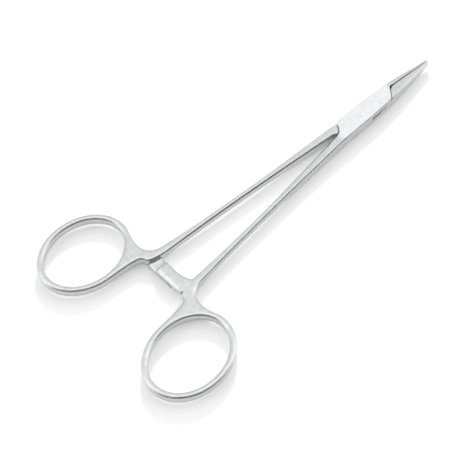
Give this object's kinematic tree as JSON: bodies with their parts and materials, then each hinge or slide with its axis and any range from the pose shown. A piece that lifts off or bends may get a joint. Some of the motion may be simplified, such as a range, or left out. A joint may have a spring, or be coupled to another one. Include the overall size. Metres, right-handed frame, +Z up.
{
  "type": "artery forceps",
  "caption": "Steel artery forceps with finger rings, a box lock, serrated straight jaws and a ratchet that holds them shut.",
  "frame": {"origin": "on the pivot pin's axis, at the lower face of the box lock", "axes": "+X along the instrument to the jaw tip, +Z up out of its flat side, +Y to the ring of the tongue half"},
  "size_m": [0.1503, 0.073, 0.005],
  "materials": {
    "satin_steel": "satin stainless steel",
    "pin_steel": "stainless steel ground flush with the box"
  },
  "bodies": {
    "box_side": {"box_half": "satin_steel", "pivot_pin": "pin_steel"},
    "tongue_side": {"tongue_half": "satin_steel"}
  },
  "joints": [
    {"name": "box_lock", "type": "hinge", "parent": "box_side", "child": "tongue_side", "pos_m": [0, 0, 0.0025], "axis": [0, 0, -1], "range_deg": [0, 38]}
  ]
}
